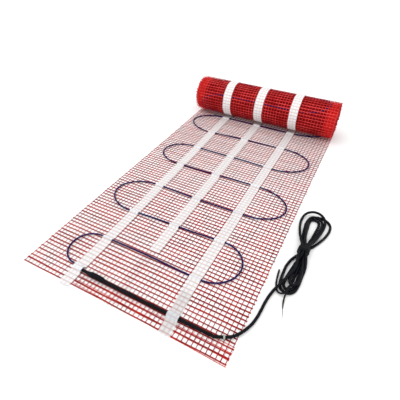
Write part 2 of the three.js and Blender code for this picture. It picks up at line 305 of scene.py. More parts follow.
# A near lobe is drawn out to the left, and its right strands lie in a bundle.
NEAR_LOBES = [
    (
        TOP_RIGHT,
        [
            (561.5, 294, 13.6),
            (565.5, 279, 9.2),
            (567.5, 264, 5),
            (567, 247, 3.6),
            (565.9, 213, 3.6),
            (562.8, 201.5, 3.6),
            (556.5, 193.8, 3.6),
            (547.5, 191, 3.6),
            (538.3, 194.3, 3.6),
            (532, 202, 3.6),
            (529.4, 213.5, 3.6),
            (528.3, 232, 3.6),
            (528, 250, 3.6),
            (529.2, 265, 3.6),
            (532.6, 280, 3.6),
            (538.4, 294, 3.6),
        ],
        LOW_LEFT,
    ),
    (
        LOW_RIGHT,
        [
            (559.4, 292, 3.6),
            (560, 270, 3.6),
            (560, 250, 3.6),
            (559.4, 214, 3.6),
            (556.6, 204.2, 3.6),
            (548.6, 199.6, 3.6),
            (540.4, 204.2, 3.6),
            (537.4, 214.5, 3.6),
            (537.8, 228, 3.6),
            (539.6, 244, 3.6),
            (542, 259, 4.4),
            (545.6, 277, 8.8),
            (549.8, 294, 13.2),
        ],
        TOP_MIDDLE,
    ),
    (
        MID_RIGHT,
        [
            (556.6, 294, 9.8),
            (559.4, 275, 10.1),
            (562.6, 257, 10.3),
            (564.4, 240, 10.3),
            (564, 225, 10.3),
            (561, 216, 10.3),
            (554.6, 211.6, 10.3),
            (548.2, 216, 10),
            (546, 225.5, 8.4),
            (545.8, 239, 5.4),
            (547.4, 254, 4.2),
            (548.2, 272, 3.8),
            (547.8, 292, 6.6),
        ],
        MID_LEFT,
    ),
]


def at_waist(slot, y):
    return WAIST_X + slot[0], y, slot[1]


def far_lobe(start_slot, end_slot, out_x, back_x, far_y, out_level, back_level, hump):
    """One loop of the hank beyond the waist, from slot to slot."""
    radius = abs(back_x - out_x) / 2
    turn_y = far_y - radius
    points = [at_waist(start_slot, WAIST_Y[1])]

    def side(slot, x, level, steps):
        for step in steps:
            ease = sin(step * pi / 2)
            across = WAIST_X + slot[0]
            height = slot[1] + (level - slot[1]) * ease
            points.append((across + (x - across) * ease, WAIST_Y[1] + (turn_y - WAIST_Y[1]) * step, height))

    side(start_slot, out_x, out_level, SIDE_STEPS)
    for step in range(ARC_STEPS + 1):
        angle = pi * step / ARC_STEPS
        x = (out_x + back_x) / 2 - (back_x - out_x) / 2 * cos(angle)
        share = (1 - cos(angle)) / 2
        level = out_level + (back_level - out_level) * share + hump * sin(angle)
        points.append((x, turn_y + radius * sin(angle), level))
    side(end_slot, back_x, back_level, reversed(SIDE_STEPS))
    return [*points, at_waist(end_slot, WAIST_Y[1])]


def lead_route():
    route = [*LEAD_ROUTE, at_waist(TOP_LEFT, WAIST_Y[0])]
    for turn, far in enumerate(FAR_LOBES):
        route += far_lobe(*far)
        if turn < len(NEAR_LOBES):
            start_slot, points, end_slot = NEAR_LOBES[turn]
            route += [at_waist(start_slot, WAIST_Y[0]), *points, at_waist(end_slot, WAIST_Y[0])]
    return [*route, at_waist(LOW_MIDDLE, WAIST_Y[0]), *LEAD_END]


lead_black = rubber()
lead = cord_curve("cold_lead_cord", on_floor(lead_route()), LEAD_DIAMETER, 3)
lead.data.resolution_u = 6
lead.data.materials.append(lead_black)
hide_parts("cold_lead", "lead_hank")
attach(lead, "root")


# Splice sleeve
# Black heat-shrink tube over the joint between heating cable and cold lead. It grips the
# joint, so it shows a bulge near its start and tapers to the lead. The tables give its radius
# and the middle of the tube, in mm on the mat, at places along it.
SLEEVE_START = 134.5
SLEEVE_END = 455.2
SLEEVE_PLACES = (134.5, 138, 143, 156, 162, 170, 185, 196, 204, 280, 290, 308, 320, 420, 436, 449, 455.2)
SLEEVE_RADII = (2.2, 3.0, 3.5, 3.6, 4.9, 6.3, 6.1, 5.5, 4.3, 4.2, 3.7, 3.6, 3.9, 3.9, 3.6, 3.5, 3.4)
SLEEVE_CENTRES = (
    38.4, 38, 37.4, 36.9, 36.7, 36.5, 36.6, 36.3, 35.7, 35.6, 35, 35, 35.4, 35.6, 34.9, 34.1, 34
)
SLEEVE_LEVELS = (6.2, 6.2, 6.2, 6.2, 7.0, 8.2, 8.1, 7.5, 6.3, 6.1, 5.7, 5.6, 5.9, 5.9, 7.1, 8.5, 8.7)
SLEEVE_WRINKLES = ((0.2, 5.1, 2), (0.14, 2.3, -1))
SLEEVE_SIDES = 20
SLEEVE_CUTS = 150
SLEEVE_BLACK = (0.004, 0.003, 0.003)


def straight_bar(name, sides, cuts, along):
    """A bar of unit length and width along x or y, cut across as often as it has to bend."""
    bpy.ops.object.select_all(action="DESELECT")
    turn = (0, pi / 2, 0) if along == "x" else (pi / 2, 0, 0)
    bpy.ops.mesh.primitive_cylinder_add(vertices=sides, radius=0.5, depth=1, rotation=turn)
    bar = bpy.context.object
    bar.name = name
    bpy.ops.object.transform_apply(location=True, rotation=True, scale=True)
    axis = "xy".index(along)
    bpy.ops.object.mode_set(mode="EDIT")
    bpy.ops.mesh.select_mode(type="EDGE")
    bpy.ops.mesh.select_all(action="DESELECT")
    bpy.ops.object.mode_set(mode="OBJECT")
    points = bar.data.vertices
    for edge in bar.data.edges:
        start, end = edge.vertices
        edge.select = abs(points[start].co[axis] - points[end].co[axis]) > 0.5
    if cuts:
        bpy.ops.object.mode_set(mode="EDIT")
        bpy.ops.mesh.subdivide(number_cuts=cuts)
        bpy.ops.object.mode_set(mode="OBJECT")
    return bar


def corners(piece):
    """The places of a piece's vertices, as one array."""
    flat = np.empty(len(piece.data.vertices) * 3, dtype=np.float32)
    piece.data.vertices.foreach_get("co", flat)
    return flat.reshape(-1, 3).astype(float)


def move_corners(piece, places):
    piece.data.vertices.foreach_set("co", np.asarray(places, dtype=np.float32).ravel())
    piece.data.update()


def from_mat(x, y, z):
    """Places in mm on the mat, as an array in the frame's metres."""
    return np.stack([net_corner.x + x * MM, net_corner.y + y * MM, z * MM], axis=1)


def smooth(piece, angle=50):
    bpy.ops.object.select_all(action="DESELECT")
    piece.select_set(True)
    bpy.context.view_layer.objects.active = piece
    bpy.ops.object.shade_smooth_by_angle(angle=radians(angle))


def heat_shrink():
    finish = Finish("sleeve_heat_shrink", 0.34, 0.05)
    finish.colour(finish.mix(finish.noise(45), SLEEVE_BLACK, LEAD_SHEEN))
    finish.uneven(low=0.26, spread=0.2, scale=150)
    finish.grain(scale=260, detail=4, depth=0.00022)
    return finish.material


sleeve = straight_bar("splice_sleeve", SLEEVE_SIDES, SLEEVE_CUTS, "x")
places = corners(sleeve)
along = SLEEVE_START + (places[:, 0] + 0.5) * (SLEEVE_END - SLEEVE_START)
around = np.arctan2(places[:, 2], places[:, 1])
radius = np.interp(along, SLEEVE_PLACES, SLEEVE_RADII)
for height, length, turns in SLEEVE_WRINKLES:
    radius += height * np.sin(along / length + turns * around)
off_axis = np.hypot(places[:, 1], places[:, 2]) > 0.1
radius = np.where(off_axis, radius, 0)
centre = np.interp(along, SLEEVE_PLACES, SLEEVE_CENTRES)
level = np.interp(along, SLEEVE_PLACES, SLEEVE_LEVELS)
across = centre + radius * np.cos(around)
move_corners(sleeve, from_mat(along, across, level + radius * np.sin(around)))
smooth(sleeve)
sleeve.data.materials.append(heat_shrink())
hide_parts("joint_sleeve")
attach(sleeve, "root")

# Pale band
# A narrow band of pale clear plastic round the lead, just past the end of the sleeve.
BAND_PLACE = (477, 42.3, 7.1)
BAND_DIRECTION = (12, 6.5, -1.3)
BAND_LENGTH = 3.4
BAND_RADIUS = 4.3
BAND_WALL = 0.85
BAND_EDGE = 0.35
BAND_SIDES = 24
BAND_PALE = (0.44, 0.48, 0.43)
BAND_YELLOWED = (0.30, 0.33, 0.27)


def clear_plastic():
    finish = Finish("clear_band_plastic", 0.25)
    finish.colour(finish.mix(finish.noise(240), BAND_YELLOWED, BAND_PALE))
    finish.uneven(low=0.2, spread=0.2, scale=500)
    finish.grain(scale=700, detail=2, depth=0.0001)
    return finish.material


bpy.ops.object.select_all(action="DESELECT")
bpy.ops.mesh.primitive_cylinder_add(
    vertices=BAND_SIDES,
    radius=BAND_RADIUS * MM,
    depth=BAND_LENGTH * MM,
    end_fill_type="NOTHING",
    location=on_floor([BAND_PLACE])[0],
    rotation=Vector(BAND_DIRECTION).to_track_quat("Z", "Y").to_euler(),
)
band = bpy.context.object
band.name = "sleeve_band"
bpy.ops.object.transform_apply(location=True, rotation=True, scale=True)


def finish_with(piece, kind, **settings):
    """Adds a modifier with its settings and applies it."""
    bpy.ops.object.select_all(action="DESELECT")
    piece.select_set(True)
    bpy.context.view_layer.objects.active = piece
    modifier = piece.modifiers.new(kind.lower(), kind)
    for name, value in settings.items():
        setattr(modifier, name, value)
    bpy.ops.object.modifier_apply(modifier=modifier.name)


finish_with(band, "SOLIDIFY", thickness=BAND_WALL * MM, offset=-1)
finish_with(band, "BEVEL", width=BAND_EDGE * MM, segments=2, limit_method="ANGLE")
smooth(band)
band.data.materials.append(clear_plastic())
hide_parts("lead_band")
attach(band, "root")

# Hank tie
# Black cloth tape, wound in two bands side by side round the waist of the hank.
TIE_HALF_WIDTH = 11.6
TIE_HALF_HEIGHT = 9.0
TIE_LEVEL = 10.2
TIE_SQUARENESS = 3.2
TIE_SIDES = 56
TIE_CUTS = 5
TIE_BLACK = (0.004, 0.004, 0.005)
TIE_WORN = (0.016, 0.016, 0.018)
TIE_WEAVE = 5200
TIE_THICKNESS = 0.9
TIE_LOWEST = 1.3
TIE_LUMP = 0.5
TIE_CREASE = 0.3
# Each wind's name, middle along the mat, width, swell and skew
TIE_WINDS = (("hank_tie_inner", 312.0, 9.5, 0.0, 0.0), ("hank_tie_outer", 317.5, 11.0, 0.9, 1.2))


def tie_tape():
    finish = Finish("tie_cloth_tape", 0.6)
    x, y, z = finish.parts(finish.object_place())
    weave = (x * TIE_WEAVE).sine() * (y * TIE_WEAVE).sine()
    finish.colour(finish.mix(finish.noise(120), TIE_BLACK, TIE_WORN))
    finish.uneven(low=0.5, spread=0.25, scale=400)
    finish.bump(weave + 2 * finish.noise(300), 0.00008)
    return finish.material


tie_finish = tie_tape()
for name, tie_y, tie_width, tie_swell, tie_skew in TIE_WINDS:
    bpy.ops.object.select_all(action="DESELECT")
    bpy.ops.mesh.primitive_cylinder_add(
        vertices=TIE_SIDES, radius=1, depth=1, end_fill_type="NOTHING", rotation=(pi / 2, 0, 0)
    )
    wind = bpy.context.object
    wind.name = name
    bpy.ops.object.transform_apply(location=True, rotation=True, scale=True)
    bpy.ops.object.mode_set(mode="EDIT")
    bpy.ops.mesh.select_all(action="SELECT")
    bpy.ops.mesh.subdivide(number_cuts=TIE_CUTS)
    bpy.ops.object.mode_set(mode="OBJECT")
    places = corners(wind)
    around = np.arctan2(places[:, 2], places[:, 0])
    power = 2 / TIE_SQUARENESS
    lump = TIE_LUMP * np.sin(3 * around + tie_y) + TIE_CREASE * np.sin(7 * around + places[:, 1] * 6)
    half_width = TIE_HALF_WIDTH + tie_swell + lump
    half_height = TIE_HALF_HEIGHT + tie_swell + 0.4 * lump
    x = WAIST_X + half_width * np.sign(np.cos(around)) * np.abs(np.cos(around)) ** power
    z = TIE_LEVEL + half_height * np.sign(np.sin(around)) * np.abs(np.sin(around)) ** power
    z = np.maximum(z, TIE_LOWEST)
    y = tie_y + places[:, 1] * tie_width + tie_skew * np.cos(around)
    move_corners(wind, from_mat(x, y, z))
    finish_with(wind, "SOLIDIFY", thickness=TIE_THICKNESS * MM, offset=1)
    smooth(wind, 60)
    wind.data.materials.append(tie_finish)
    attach(wind, "root")
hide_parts("hank_tie")

# Wire ends
# The lead's stripped end: a dark core that tapers beside a pale tinned one, and a third core
# bent back under the lead, with only its dark end standing out.
CORE_ROUTES = (
    [
        (548.8, 187, 9.8),
        (549.3, 177, 6.6),
        (550.2, 168, 3.2),
        (552, 160, 1.8),
        (555, 150, 1.4),
        (558.2, 139, 1.3),
    ],
    [
        (549.4, 187, 9.2),
        (551, 175, 5),
        (552.4, 167, 2.4),
        (553.6, 158, 1.6),
        (555.6, 147, 1.5),
        (559.4, 135, 1.3),
    ],
    [
        (548.4, 187, 9),
        (540, 184, 5),
        (531, 188.5, 2.5),
        (524.4, 202, 2.3),
        (520.6, 220, 2.3),
        (518, 243, 2.3),
    ],
)
CORE_DIAMETERS = (3.6, 1.8, 4.2)
CORE_TAPERS = ((1, 1, 0.85, 0.6, 0.35, 0.2), (1, 1, 0.9, 0.8, 0.7, 0.5), (0.8, 0.9, 1, 1, 1, 1))
CORE_DARK = (0.006, 0.006, 0.008)
CORE_GREY = (0.02, 0.02, 0.024)
STRANDS_PALE = (0.46, 0.44, 0.38)
STRANDS_DULL = (0.24, 0.23, 0.2)


def core_finish(name, dark, light):
    finish = Finish(name, 0.4)
    finish.colour(finish.mix(finish.noise(90), dark, light))
    finish.uneven(low=0.3, spread=0.2, scale=300)
    finish.grain(scale=900, detail=2, depth=0.00005)
    return finish.material


insulation = core_finish("core_insulation", CORE_DARK, CORE_GREY)
tinned = core_finish("core_tinned_strands", STRANDS_DULL, STRANDS_PALE)
CORE_FINISHES = (insulation, tinned, insulation)
for count, route in enumerate(CORE_ROUTES):
    core = cord_curve(f"wire_end_{count}", on_floor(route), CORE_DIAMETERS[count] * MM, 2)
    core.data.resolution_u = 6
    for knot, share in zip(core.data.splines[0].bezier_points, CORE_TAPERS[count]):
        knot.radius = share
    core.data.materials.append(CORE_FINISHES[count])
    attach(core, "root")
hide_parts("lead_wire_end")

on_floor(LEAD_ROUTE[:1])[0]

# Heating cable
# Round heating cable with a smooth dark jacket, laid to and fro over the net and held by the
# tapes. It goes on into the outer turn of the roll, where it shows through the net.
CABLE_RADIUS = 2.0
CABLE_LEVEL = 3.9
CABLE_SIDES = 3
RUN_START_X = 109
RUN_END_X = 379
RUN_LEFT = (141, 246, 370, 489, 602, 712, 835, 936.5, 1037, 1138, 1239)
RUN_RIGHT = (137, 258, 367, 496, 598, 725, 835.7, 936.5, 1037, 1138, 1239)
LEFT_APEX = (26, 32, 18, 30, 23)
RIGHT_APEX = (445, 474, 474, 474, 472)
FIRST_BEND = (45, 141, 60)
BEND_STEPS = 12
RUN_STEPS = 12
CABLE_START = [(128, 39, 5.8), (121, 40.6, 4.9), (114, 43, 4.1)]
CABLE_TUCK = 1.5
SWAY = 0.9
SWAY_LENGTHS = (37, 90)
CABLE_NAVY = (0.011, 0.005, 0.045)
CABLE_HIGHLIGHT = (0.030, 0.016, 0.105)

# The roll's turns, as a table of the length wound up against the angle turned
ROLL_Y = 878
ROLL_RADIUS = 62.5
TURN_PITCH = 3.7
TURN_COUNT = 12
TABLE_STEPS = 240
TUCK_SHARE = 0.6
TUCK_START = 0.72
turned = np.linspace(0, TURN_COUNT * 2 * pi, TURN_COUNT * TABLE_STEPS + 1)
turn_share = (turned / (2 * pi)) % 1
turn_share[-1] = 1
whole_turns = np.floor(turned / (2 * pi))
whole_turns[-1] = TURN_COUNT - 1
tuck = np.clip((turn_share - TUCK_START) / (1 - TUCK_START), 0, 1)
tuck = tuck * tuck * (3 - 2 * tuck)
turn_radius = ROLL_RADIUS - TURN_PITCH * whole_turns
turn_radius -= TUCK_SHARE * turn_share + (TURN_PITCH - TUCK_SHARE * turn_share) * tuck
arcs = (turn_radius[1:] + turn_radius[:-1]) / 2 * np.diff(turned)
wound_length = np.concatenate([[0], np.cumsum(arcs)])


def wind_up(x, s, h):
    """Takes places on the unrolled mat, s mm along it and h above its underside, to the real ones."""
    angle = np.interp(s - ROLL_Y, wound_length, turned)
    radius = np.interp(angle, turned, turn_radius) - h
    on_roll = s > ROLL_Y
    y = np.where(on_roll, ROLL_Y + radius * np.sin(angle), s)
    z = np.where(on_roll, ROLL_RADIUS - radius * np.cos(angle), h)
    return from_mat(x, y, z)


def turn_start(turns):
    """Length along the mat at which the given turn of the roll begins."""
    return ROLL_Y + float(np.interp(turns * 2 * pi, turned, wound_length))


def sway(x, y):
    """How far the cable strays from its straight run."""
    return SWAY * np.sin(x / SWAY_LENGTHS[0] + y / SWAY_LENGTHS[1])


def cable_route():
    """The cable's centre line on the unrolled mat, from the sleeve into the roll's outer turn."""
    route = [(SLEEVE_START + CABLE_TUCK, SLEEVE_CENTRES[0], SLEEVE_LEVELS[0]), *CABLE_START]

    def half_ellipse(from_x, apex_x, from_y, to_y):
        for step in range(BEND_STEPS + 1):
            angle = pi * step / BEND_STEPS
            x = from_x + (apex_x - from_x) * sin(angle)
            route.append((x, (from_y + to_y) / 2 - (to_y - from_y) / 2 * cos(angle), CABLE_LEVEL))

    def run(from_x, from_y, to_x, to_y):
        for step in range(1, RUN_STEPS):
            share = step / RUN_STEPS
            x = from_x + (to_x - from_x) * share
            route.append((x, from_y + (to_y - from_y) * share, CABLE_LEVEL))

    half_ellipse(RUN_START_X, FIRST_BEND[2], FIRST_BEND[0], FIRST_BEND[1])
    for number in range(len(RUN_LEFT)):
        if number % 2 == 0:
            run(RUN_START_X, RUN_LEFT[number], RUN_END_X, RUN_RIGHT[number])
            if number + 1 < len(RUN_LEFT):
                apex = RIGHT_APEX[number // 2]
                half_ellipse(RUN_END_X, apex, RUN_RIGHT[number], RUN_RIGHT[number + 1])
        else:
            run(RUN_END_X, RUN_RIGHT[number], RUN_START_X, RUN_LEFT[number])
            if number + 1 < len(RUN_LEFT):
                apex = LEFT_APEX[number // 2]
                half_ellipse(RUN_START_X, apex, RUN_LEFT[number], RUN_LEFT[number + 1])
    return np.array(route)


def jacket():
    finish = Finish("cable_jacket", 0.38)
    finish.colour(finish.mix(finish.noise(35), CABLE_NAVY, CABLE_HIGHLIGHT))
    finish.uneven(low=0.3, spread=0.2, scale=200)
    finish.grain(scale=800, detail=2, depth=0.00006)
    return finish.material


cable_way = cable_route()
cable_way[:, 1] += sway(cable_way[:, 0], cable_way[:, 1])
cable_places = wind_up(*cable_way.T).tolist()
cable = cord_curve("heating_cable_jacket", cable_places, 2 * CABLE_RADIUS * MM, CABLE_SIDES)
cable.data.resolution_u = 4
cable.data.materials.append(jacket())
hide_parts("heating_cable")
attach(cable, "root")

# Net
# Glass fibre strands, woven over and under and coated red. The crosswise strands are broad
# and flat and are cut off a little past the edges. The front edge is folded under.
NET_WIDTH = 500
WARP_COUNT = 51
WARP_EDGE = 0.8
WARP_SIZE = (1.4, 0.5)
WEFT_PITCH = 10.4
WEFT_EDGE = 1.2
WEFT_SIZE = (3.1, 0.6)
NET_LEVEL = 1.15
WEAVE_DEPTH = 0.3
STICK_OUT = (0.2, 3.0)
WEFT_BREADTHS = (0.8, 1.15)
WARP_BREADTHS = (0.8, 1.2)
WEFT_DRIFT = 0.8
WARP_DRIFT = 0.5
DRIFT_LENGTHS = (83, 19)
DRIFT_SIZES = (0.3, 1.0)
FLAT_WEFTS = 83
OUTER_TURNS = 1
# The flat net and the roll are one fibre. The flat net's tones are the darker ones: painted shade for the
# shadows that fall among its strands.
NET_TONES = ((0.19, 0.010, 0.010), (0.37, 0.016, 0.013), (0.56, 0.045, 0.034))
ROLL_TONES = ((0.44, 0.010, 0.012), (0.72, 0.040, 0.042), (0.88, 0.18, 0.17))
chance = np.random.default_rng(11)
FLAT_END = WEFT_EDGE + (FLAT_WEFTS - 0.5) * WEFT_PITCH
WARP_PITCH = (NET_WIDTH - 2 * WARP_EDGE) / (WARP_COUNT - 1)


def coated_fibre(name, tones):
    finish = Finish(name, 0.5)
    tone = finish.noise(26, 4)
    flecks = finish.noise(420, 2).over(0.5, 0.8)
    body = finish.mix(tone.over(0.3, 0.7), tones[0], tones[1])
    finish.colour(finish.mix(0.75 * flecks, body, tones[2]))
    finish.uneven(low=0.42, spread=0.25, scale=300)
    finish.grain(scale=1500, detail=2, depth=0.00012)
    return finish.material


def wander(count, strand, along, reach):
    """A slow sideways drift, different for each strand."""
    first = chance.uniform(0, 2 * pi, (2, count))[:, strand]
    size = chance.uniform(*DRIFT_SIZES, (2, count))[:, strand]
    slow = size[0] * np.sin(along / DRIFT_LENGTHS[0] + first[0])
    quick = size[1] * np.sin(along / DRIFT_LENGTHS[1] + first[1])
    return reach * (slow + 0.4 * quick)


def repeated(bar, count, step):
    """Copies a bar count times along step, and gives each vertex the number of its bar."""
    each = len(bar.data.vertices)
    finish_with(
        bar,
        "ARRAY",
        count=count,
        use_relative_offset=False,
        use_constant_offset=True,
        constant_offset_displace=step,
    )
    return np.arange(len(bar.data.vertices)) // each


def weft_strands(name, first, count, span=(0, NET_WIDTH), cuts=50, width=WEFT_SIZE[0]):
    wefts = straight_bar(name, 6, cuts, "x")
    strand = repeated(wefts, count, (0, 0, 1))
    places = corners(wefts)
    across = places[:, 0] + 0.5
    left = span[0] - chance.uniform(*STICK_OUT, count)[strand]
    right = span[1] + chance.uniform(*STICK_OUT, count)[strand]
    x = left + across * (right - left)
    breadth = chance.uniform(*WEFT_BREADTHS, count)[strand] * width
    s = WEFT_EDGE + (first + strand) * WEFT_PITCH + places[:, 1] * breadth
    s += wander(count, strand, x, WEFT_DRIFT)
    over = np.cos(pi * ((x - WARP_EDGE) / WARP_PITCH + first + strand))
    h = NET_LEVEL + WEAVE_DEPTH * over + (places[:, 2] - strand) * WEFT_SIZE[1]
    return wefts, x, s, h


def warp_strands(name, start, end, numbers, cuts, width=WARP_SIZE[0]):
    warps = straight_bar(name, 4, cuts, "y")
    strand = repeated(warps, len(numbers), (0, 0, 1))
    number = np.asarray(numbers)[strand]
    places = corners(warps)
    s = start + (places[:, 1] + 0.5) * (end - start)
    breadth = chance.uniform(*WARP_BREADTHS, len(numbers))[strand] * width
    x = WARP_EDGE + number * WARP_PITCH + places[:, 0] * breadth
    x += wander(len(numbers), strand, s, WARP_DRIFT)
    over = np.cos(pi * ((s - WEFT_EDGE) / WEFT_PITCH + number))
    h = NET_LEVEL - WEAVE_DEPTH * over + (places[:, 2] - strand) * WARP_SIZE[1]
    return warps, x, s, h


def joined(name, pieces):
    bpy.ops.object.select_all(action="DESELECT")
    for piece in pieces:
        piece.select_set(True)
    bpy.context.view_layer.objects.active = pieces[0]
    bpy.ops.object.join()
    pieces[0].name = name
    return pieces[0]


def woven(name, strands, finish):
    for piece, x, s, h in strands:
        move_corners(piece, wind_up(x, s, h))
    net = joined(name, [piece for piece, x, s, h in strands])
    smooth(net, 60)
    net.data.materials.append(finish)
    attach(net, "root")
    return net


net_red = coated_fibre("net_coated_fibre", NET_TONES)
net_flat = woven(
    "net_flat",
    [
        weft_strands("flat_wefts", 0, FLAT_WEFTS),
        warp_strands("flat_warps", -0.5, FLAT_END, range(WARP_COUNT), 2 * FLAT_WEFTS),
    ],
    net_red,
)
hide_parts("mesh_warp", "mesh_weft")

# Front hem
# The first 35 mm of the net are folded under and lie a little askew to the strands above.
HEM_START = 137
HEM_WEFTS = 4
HEM_LENGTH = 33
HEM_SHIFT = 8.0
HEM_BACK = 4
HEM_LEAN = 3.2
HEM_PAST_EDGE = 2
HEM_LEVEL = -0.45
HEM_WARPS = 36
HEM_WEFT_WIDTH = 1.1
HEM_WARP_WIDTH = 0.45
HEM_TONES = ((0.45, 0.03, 0.03), (0.66, 0.05, 0.045), (0.82, 0.14, 0.12))


def hem_strands():
    wefts = weft_strands("hem_wefts", 0, HEM_WEFTS, (HEM_START, NET_WIDTH), width=HEM_WEFT_WIDTH)
    numbers = range(WARP_COUNT - HEM_WARPS, WARP_COUNT)
    warps = warp_strands("hem_warps", -0.5, HEM_LENGTH, numbers, 2 * HEM_WEFTS, HEM_WARP_WIDTH)
    strands = []
    for piece, x, s, h in (wefts, warps):
        askew = HEM_SHIFT * np.clip((x - HEM_START) / (NET_WIDTH - HEM_START), 0, 1)
        x = np.minimum(x + HEM_LEAN * np.clip(s / HEM_LENGTH, 0, 1), NET_WIDTH + HEM_PAST_EDGE)
        s = s + HEM_BACK - askew * (1 - s / HEM_LENGTH)
        strands.append((piece, x, s, h + HEM_LEVEL))
    return strands


hem_red = coated_fibre("hem_coated_fibre", HEM_TONES)
woven("net_front_hem", hem_strands(), hem_red)

# Rolled net
# The outer turn is woven like the flat stretch, and it is open enough to see into.
# The turns inside it are a close-wound strip with their strands' ends standing out.
OUTER_END = turn_start(OUTER_TURNS)
OUTER_WEFTS = int((OUTER_END - FLAT_END) / WEFT_PITCH)
roll_red = coated_fibre("roll_coated_fibre", ROLL_TONES)
net_rolled = woven(
    "net_rolled",
    [
        weft_strands("rolled_wefts", FLAT_WEFTS, OUTER_WEFTS),
        warp_strands("rolled_warps", FLAT_END, OUTER_END, range(WARP_COUNT), 3 * OUTER_WEFTS),
    ],
    roll_red,
)
CORE_END = turn_start(TURN_COUNT)
CORE_STEPS = 480
CORE_INSET = 2.5
CORE_THICKNESS = 0.9
# Painted shade: the strip inside the roll is coloured dark for the shadow between its turns, its strands a
# dimmer red than the outer turn's, and it is painted lighter near the roll's ends, where the turns lie
# closer and less shade falls.
CORE_PAINTED_SHADE = (0.060, 0.0005, 0.001)
CORE_STRAND_IN_PAINTED_SHADE = (0.26, 0.005, 0.007)
EDGE_LESS_SHADED = (0.74, 0.018, 0.012)
CORE_WEFTS = int((CORE_END - OUTER_END) / WEFT_PITCH)
STUB_LENGTH = 16
RIGHT_STUBS = (NET_WIDTH - STUB_LENGTH, NET_WIDTH)
EDGE_WARPS = (0, 1, WARP_COUNT - 2, WARP_COUNT - 1)


def strip(name, columns, rows):
    """A flat strip of unit length and width, as a grid."""
    bpy.ops.object.select_all(action="DESELECT")
    bpy.ops.mesh.primitive_grid_add(x_subdivisions=columns, y_subdivisions=rows, size=1)
    piece = bpy.context.object
    piece.name = name
    return piece


def wound_net():
    finish = Finish("net_wound_up_painted_shade", 0.6, 0.0)
    place = finish.node("ShaderNodeTexCoord", output="UV")
    u, v, w = finish.parts(place)
    warps = abs((u * (WARP_COUNT * pi)).sine()).over(0.86, 0.95)
    wefts = abs((v * (CORE_WEFTS * pi)).sine()).over(0.8, 0.9)
    strands = warps.math("MAXIMUM", warps, wefts)
    near_edge = abs(u - 0.5).over(0.425, 0.46)
    # Painted shade: dark cells and dimmed strands for the shadow inside the roll, mixed towards a lighter
    # red near the ends where the shade is less.
    body = finish.mix(strands, CORE_PAINTED_SHADE, CORE_STRAND_IN_PAINTED_SHADE)
    finish.colour(finish.mix(0.68 * near_edge, body, EDGE_LESS_SHADED))
    finish.uneven(low=0.5, spread=0.3, scale=200)
    finish.bump(strands + 0.3 * finish.noise(500), 0.0004)
    return finish.material


net_core = strip("net_core", 4, CORE_STEPS)
places = corners(net_core)
x = CORE_INSET + (places[:, 0] + 0.5) * (NET_WIDTH - 2 * CORE_INSET)
s = OUTER_END + (places[:, 1] + 0.5) * (CORE_END - OUTER_END)
move_corners(net_core, wind_up(x, s, np.full(len(x), NET_LEVEL)))
finish_with(net_core, "SOLIDIFY", thickness=CORE_THICKNESS * MM, offset=0)
smooth(net_core, 60)
net_core.data.materials.append(wound_net())
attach(net_core, "root")

woven(
    "net_core_ends",
    [
        weft_strands("left_stubs", FLAT_WEFTS + OUTER_WEFTS, CORE_WEFTS, (0, STUB_LENGTH), 1),
        weft_strands("right_stubs", FLAT_WEFTS + OUTER_WEFTS, CORE_WEFTS, RIGHT_STUBS, 1),
        warp_strands("edge_warps", OUTER_END, CORE_END, EDGE_WARPS, CORE_STEPS),
    ],
    roll_red,
)
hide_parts("mat_roll")

# Tapes
# White woven adhesive tape. Three strips hold the cable down from above, and three more
# under the net stick the mat to the floor. These show as white bands round the roll.
TAPE_THICKNESS = 0.3
TAPE_COLUMNS = 8
TAPE_STEP = 2.0
TOP_COVER = 0.76
CLEAR_COVER_DROP = 0.3
CABLE_COVER_RISE = 0.16
BACKING_COVER = 0.2
ROLL_COVER_RISE = 0.72
TAPE_REST = 1.95
TAPE_RIB = 0.16
BACKING_REST = 0.02
BACKING_RIB = 0.096
TAPE_GAP = 0.15
TAPE_WAVES = ((0.5, 61), (0.25, 7.3))
LEAD_IN_Y = (44.5, 39.0)
LEAD_IN_RISE = 3.4
LEFT_TAPE_LIMIT = 200
RIGHT_TAPE_LIMIT = 300
SLEEVE_CREST = 10.3
SLEEVE_UNDER_TAPE = 35.6
CURL_START = 2
CURL_LENGTH = 10
CURL_HEIGHT = 3.5
# Half the width of the flat top and of the whole rise over a run, the first bend and the sleeve
RUN_RISE = (1.2, 7.5)
LEAD_IN_SPREAD = (2.5, 13)
SLEEVE_SPREAD = (3.5, 13)
THREADS = (1900, 1500)
TAPE_LIFTED = (0.0046, 0.0066)
CLEAR_END_X = (330, 345)
CLEAR_END_Y = (85, 115)
ROLL_COVER_RUN = 30
TAPE_WHITE = (0.88, 0.885, 0.895)
TAPE_WARM = (0.92, 0.905, 0.89)
TAPE_OVER_CABLE = (0.58, 0.66, 0.73)
# Painted shade along the ribs that the net's strands press into the tape, tinted by the red net showing
# through it.
TAPE_RIB_SHADE_AND_NET_RED = (0.62, 0.47, 0.47)
TOP_TAPE_END = 886
ROLL_TAPE_ANGLE = radians(325)
ROLL_TAPE_END = ROLL_Y + float(np.interp(ROLL_TAPE_ANGLE, turned, wound_length))
# Places along the mat and the strip's left and right edge there
LEFT_EDGES = ((-8, 112, 140), (300, 112, 137), (500, 110, 135), (700, 106.5, 133), (890, 105, 131))
MIDDLE_EDGES = ((158, 232, 258), (300, 231, 257), (600, 229, 254), (890, 227, 252))
RIGHT_EDGES = ((-4, 361, 387), (50, 358, 384), (100, 353, 380), (400, 352, 379), (890, 352, 378))
LEFT_BACKING = ((0, 110, 137), (900, 108, 137), (1300, 109.5, 138.5))
MIDDLE_BACKING = ((-10, 230, 257), (900, 227, 256), (1300, 228.5, 258))
RIGHT_BACKING = ((0, 354, 381), (900, 351, 378), (1300, 353, 381))


def strand_lines(place, pitch, edge):
    """A wave that peaks over each strand of the net."""
    return (place * (2 * pi / pitch) + (pi / 2 - 2 * pi * edge / pitch)).sine()


